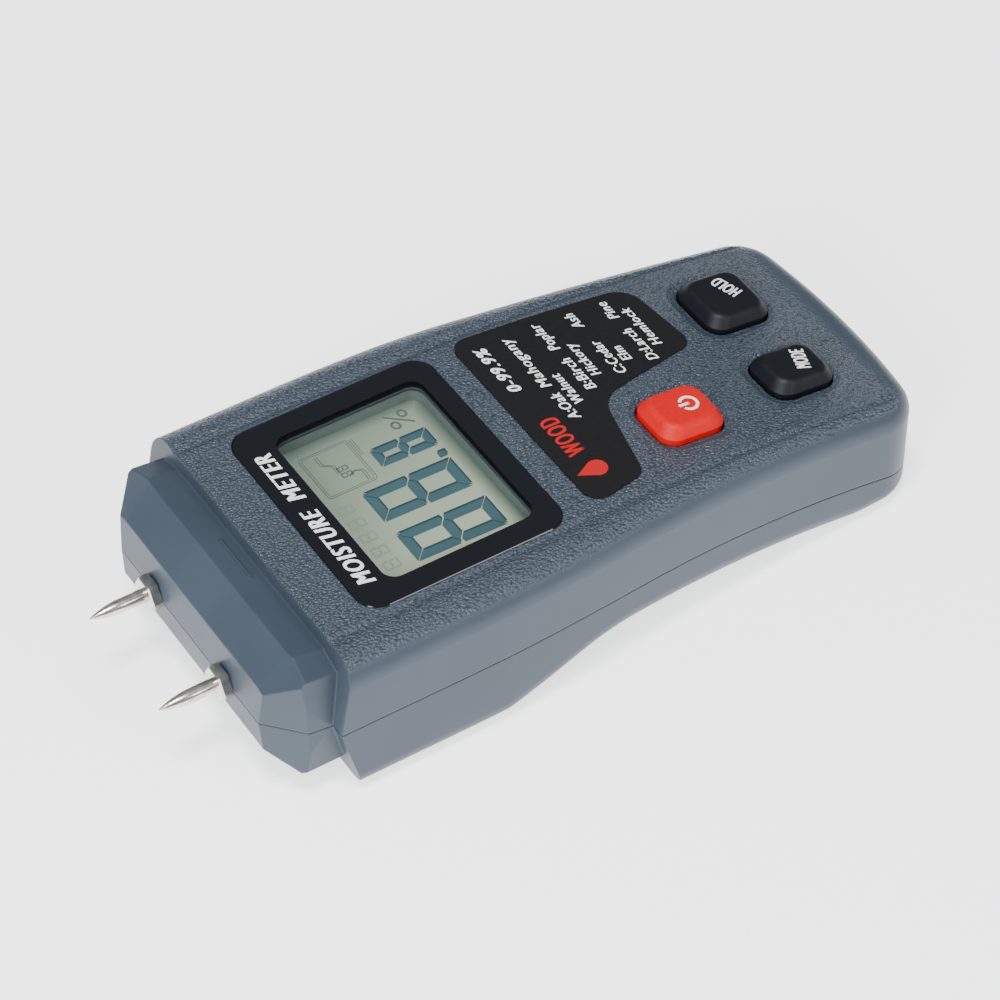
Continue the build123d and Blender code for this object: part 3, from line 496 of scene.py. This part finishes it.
def build_segments():
    """Every segment of the display lit, as on a test display."""
    segment_ink = ink("lcd_segment", (0.038, 0.092, 0.115), 0.5)
    faint_ink = ink("lcd_faint_segment", (0.245, 0.29, 0.235), 0.5)
    # painted shadow colour for the segments' drop shadows
    shadow_ink = ink("lcd_shadow", (0.013, 0.036, 0.048), 0.5)
    thin_ink = ink("lcd_thin_segment", (0.085, 0.115, 0.105), 0.5)
    at = flat_place(LCD_TOP + 0.02)(0, 0)
    outlines = []
    for left, bottom, width, height, bar in (
        (-14.3, 7.2, 6.9, 16.4, 1.75), (-4.1, 7.4, 7.1, 16.2, 1.75), (6.8, 7.2, 4.2, 10.3, 1.35)
    ):
        for outline in digit(left, bottom, width, height, bar, 0.13):
            outlines.append((at, lean_right(outline, bottom, 0.03)))
    outlines.append((at, [(3.9, 7.1), (5.2, 7.1), (5.2, 8.5), (3.9, 8.5)]))
    plates("lcd_digits", outlines, 0.02, segment_ink)
    # painted shadow: darker copies of the segments, a little aside, stand for the shadow each segment casts
    # on the reflector
    aside = Matrix.Translation(Vector((0.42, -0.30, -0.014)) * MM)
    shade = [(aside @ matrix, outline) for matrix, outline in outlines]
    plates("lcd_digit_shadows", shade, 0.01, shadow_ink)

    def stroke(points, width, closed=False):
        made = []
        count = len(points) if closed else len(points) - 1
        for i in range(count):
            (ax, ay), (bx, by) = points[i], points[(i + 1) % len(points)]
            length = sqrt((bx - ax) ** 2 + (by - ay) ** 2)
            nx, ny = -(by - ay) / length * width / 2, (bx - ax) / length * width / 2
            start = [(ax + nx, ay + ny), (ax - nx, ay - ny)]
            finish = [(bx - nx, by - ny), (bx + nx, by + ny)]
            made.append((at, start + finish))
        return made

    def rounded_box(x0, y0, x1, y1, r):
        return [
            (x0 + r, y0), (x1 - r, y0), (x1 - r * 0.3, y0 + r * 0.3), (x1, y0 + r), (x1, y1 - r),
            (x1 - r * 0.3, y1 - r * 0.3), (x1 - r, y1), (x0 + r, y1), (x0 + r * 0.3, y1 - r * 0.3),
            (x0, y1 - r), (x0, y0 + r), (x0 + r * 0.3, y0 + r * 0.3),
        ]

    thin = stroke(rounded_box(5.4, 19.3, 15.7, 28.4, 0.6), 0.13, True)
    thin += stroke(rounded_box(5.8, 19.7, 15.3, 28.0, 0.4), 0.1, True)
    for lift in (0.0, 0.45):
        for path in (
            ((14.8, 25.4), (12.6, 25.4), (11.6, 23.9), (9.4, 23.9)),
            ((6.0, 20.3), (8.4, 20.3), (9.0, 21.6), (8.2, 22.4)),
        ):
            thin += stroke([(x, y + lift) for x, y in path], 0.14)
    thin += stroke([(11.4, 18.9), (15.4, 18.9)], 0.12) + stroke([(11.4, 18.5), (15.4, 18.5)], 0.1)
    thin += [(at, o) for x in (8.3, 9.8) for o in digit(x, 22.1, 1.1, 2.0, 0.24, 0.04)]
    plates("lcd_icon", thin, 0.015, thin_ink)
    ghost = [(at, o) for x in (-13.0, -9.5, -6.0, -2.5, 1.0) for o in digit(x, 26.0, 2.0, 2.9, 0.3, 0.05)]
    plates("lcd_ghost_segments", ghost, 0.012, faint_ink)
    lettering("lcd_percent", "%", 12.6, 7.6, flat_place(LCD_TOP + 0.02), 4.0, 4.0, thin_ink, 0.1)


build_segments()

# ------------------------------------------------------------------ label
label_black, label_tree, label_shader = new_material("label_film")
label_noise = noise(label_tree, 1400.0, 2.0)
label_tree.links.new(
    ramp(label_tree, label_noise, [(0.3, (0.0035, 0.0035, 0.004)), (0.7, (0.0055, 0.0055, 0.006))]),
    label_shader.inputs["Base Color"],
)
label_shader.inputs["Roughness"].default_value = 0.5
label_shader.inputs["Specular IOR Level"].default_value = 0.3
label_tree.links.new(bump(label_tree, label_noise, 0.12, 0.00003), label_shader.inputs["Normal"])
paint("species_label", label_black)

ON_LABEL = face_place(LABEL_PROUD + INK_OUT)
lettering("label_range", "0-99.9%", 6.5, -9.05, ON_LABEL, 2.15, 12.0, white_ink, 0.3, 0.26)
SPECIES = (
    (-13.75, 1.75, ((-3.5, "A:Oak", 7.0), (5.0, "Mahogany", 13.4))),
    (-16.25, 1.65, ((-0.8, "Walnut", 7.8),)),
    (-19.95, 1.75, ((1.1, "B:Birch", 8.4), (12.0, "Poplar", 7.2))),
    (-22.45, 1.65, ((3.6, "Hickory", 8.7),)),
    (-26.55, 1.75, ((2.0, "C:Cedar", 8.8), (14.9, "Ash", 4.0))),
    (-29.05, 1.65, ((4.3, "Elm", 3.8),)),
    (-33.1, 1.75, ((2.4, "D:Larch", 8.6), (14.1, "Pine", 4.6))),
    (-35.75, 1.65, ((5.3, "Hemlock", 10.4),)),
)
for row, (y, height, words) in enumerate(SPECIES):
    for column, (x, word, width) in enumerate(words):
        name = f"label_row{row}_{column}"
        lettering(name, word, x, y, ON_LABEL, height * 1.06, width, white_ink, 0.22, 0.13)


def build_mark():
    """A plain red water drop."""
    at = ON_LABEL(-14.6, -8.5)
    drop = [(0.0, 2.95)]
    for i in range(25):
        angle = radians(40 - 260 * i / 24)
        drop.append((1.8 * cos(angle), -0.85 + 1.8 * sin(angle)))
    plates("label_mark", [(at, drop)], 0.012, red_ink)


build_mark()
lettering("label_word", "WOOD", -10.6, -10.1, ON_LABEL, 3.3, 9.6, red_ink, 0.0, 0.28)


# ------------------------------------------------------------------ keys
def silicone(name, colour, rough):
    """Soft matt rubber that lets a little light in."""
    material, tree, shader = new_material(name)
    mottle = noise(tree, 1800.0, 2.0)
    dark = tuple(c * 0.88 for c in colour)
    tree.links.new(ramp(tree, mottle, [(0.3, dark), (0.7, colour)]), shader.inputs["Base Color"])
    shader.inputs["Roughness"].default_value = rough
    shader.inputs["Specular IOR Level"].default_value = 0.25
    shader.inputs["Subsurface Weight"].default_value = 0.05
    shader.inputs["Subsurface Radius"].default_value = (0.6, 0.2, 0.1)
    shader.inputs["Subsurface Scale"].default_value = 0.001
    tree.links.new(bump(tree, mottle, 0.1, 0.00004), shader.inputs["Normal"])
    return material


paint("power_key", silicone("silicone_red", (0.55, 0.0004, 0.002), 0.5))
black_silicone = silicone("silicone_black", (0.0032, 0.0044, 0.0072), 0.48)
paint("mode_key", black_silicone)
paint("hold_key", black_silicone)
ON_KEY = key_place(KEY_PROUD + INK_OUT)
lettering("hold_word", "HOLD", 8.9, -54.2, ON_KEY, 2.5, 5.2, white_ink, 0.1, 0.18, "hold_key", turn=20)
lettering("mode_word", "MODE", -12.6, -52.8, ON_KEY, 2.5, 4.9, white_ink, 0.1, 0.18, "mode_key", turn=-18)


def ring(at, outer, inner, start, sweep, steps):
    """Outlines of a ring's short pieces, over an angle of sweep degrees from start."""
    outlines = []
    for i in range(steps):
        a = radians(start + sweep * i / steps)
        b = radians(start + sweep * (i + 1) / steps)
        outlines.append((at, [
            (outer * cos(a), outer * sin(a)), (outer * cos(b), outer * sin(b)),
            (inner * cos(b), inner * sin(b)), (inner * cos(a), inner * sin(a)),
        ]))
    return outlines


def build_power_icon():
    """A ring open towards the pins, with a bar through its gap."""
    at = ON_KEY(-10.9, -29.3)
    gap = 64
    outlines = ring(at, 1.75, 1.2, 90 + gap / 2, 360 - gap, 40)
    outlines.append((at, [(-0.27, 0.0), (0.27, 0.0), (0.27, 1.9), (-0.27, 1.9)]))
    plates("power_icon", outlines, 0.012, white_ink, "power_key")


build_power_icon()


# ------------------------------------------------------------------ metal
def metal(name, dark, light, rough, scratch):
    """Plated metal with fine turning lines along its length and slight stains."""
    material, tree, shader = new_material(name)
    stretch = node(tree, "ShaderNodeMapping")
    stretch.inputs["Scale"].default_value = scratch
    tree.links.new(coordinates(tree), stretch.inputs["Vector"])
    lines = noise(tree, 1500.0, 3.0, 0.6, stretch.outputs[0])
    stains = noise(tree, 500.0, 2.0)
    tree.links.new(ramp(tree, stains, [(0.35, dark), (0.7, light)]), shader.inputs["Base Color"])
    shader.inputs["Metallic"].default_value = 1.0
    tree.links.new(scaled(tree, lines, 0.16, rough - 0.08), shader.inputs["Roughness"])
    tree.links.new(bump(tree, lines, 0.18, 0.00003), shader.inputs["Normal"])
    return material


nickel = metal("nickel", (0.50, 0.47, 0.42), (0.78, 0.75, 0.70), 0.24, (1.0, 0.15, 1.0))
brass = metal("brass", (0.45, 0.30, 0.11), (0.70, 0.50, 0.22), 0.3, (1.0, 1.0, 0.3))
steel = metal("steel", (0.32, 0.32, 0.32), (0.55, 0.54, 0.52), 0.32, (1.0, 1.0, 0.4))
for side in ("left", "right"):
    paint(f"measuring_pin_{side}", nickel)
    paint(f"pin_socket_{side}", brass)
    paint(f"electrode_lead_{side}", simple(f"lead_white_{side}", (0.5, 0.5, 0.48), (0.65, 0.65, 0.62), 0.5))
paint("case_screws", steel)
paint("board_screws", steel)
paint("battery_terminals", steel)
paint("clip_contacts", steel)
paint("crystal", steel)
paint("key_contact_pads", brass)

# ------------------------------------------------------------------ inner pieces
INNER = {
    "power_key_contact": ("carbon", (0.012, 0.012, 0.012), (0.022, 0.022, 0.022), 0.7),
    "zebra_strip": ("zebra_rubber", (0.22, 0.18, 0.17), (0.34, 0.29, 0.27), 0.6),
    "main_board": ("board_green", (0.006, 0.075, 0.03), (0.012, 0.12, 0.05), 0.35),
    "board_ribbon": ("ribbon_film", (0.42, 0.36, 0.22), (0.56, 0.50, 0.34), 0.4),
    "controller_chip": ("chip_epoxy", (0.012, 0.012, 0.013), (0.022, 0.022, 0.023), 0.5),
    "filter_capacitor": ("capacitor_sleeve", (0.006, 0.018, 0.075), (0.01, 0.03, 0.11), 0.3),
    "trimmer": ("trimmer_blue", (0.012, 0.075, 0.36), (0.02, 0.11, 0.48), 0.45),
    "chip_capacitors": ("ceramic_tan", (0.34, 0.21, 0.11), (0.46, 0.31, 0.18), 0.5),
    "battery": ("battery_jacket", (0.035, 0.036, 0.04), (0.06, 0.06, 0.066), 0.3),
    "battery_clip": ("clip_vinyl", (0.010, 0.010, 0.011), (0.02, 0.02, 0.021), 0.45),
    "battery_lead_red": ("lead_red", (0.36, 0.008, 0.008), (0.5, 0.014, 0.014), 0.4),
    "battery_lead_black": ("lead_black", (0.008, 0.008, 0.008), (0.016, 0.016, 0.016), 0.4),
    "battery_foam": ("foam", (0.03, 0.03, 0.032), (0.075, 0.075, 0.08), 0.9),
}
made = {name: simple(*looks) for name, looks in INNER.items()}
for name, material in made.items():
    paint(name, material)
paint("mode_key_contact", made["power_key_contact"])
paint("hold_key_contact", made["power_key_contact"])
paint("key_board", made["main_board"])
paint("amplifier_chip", made["controller_chip"])
paint("chip_resistors", made["controller_chip"])

make_camera()
make_stage()
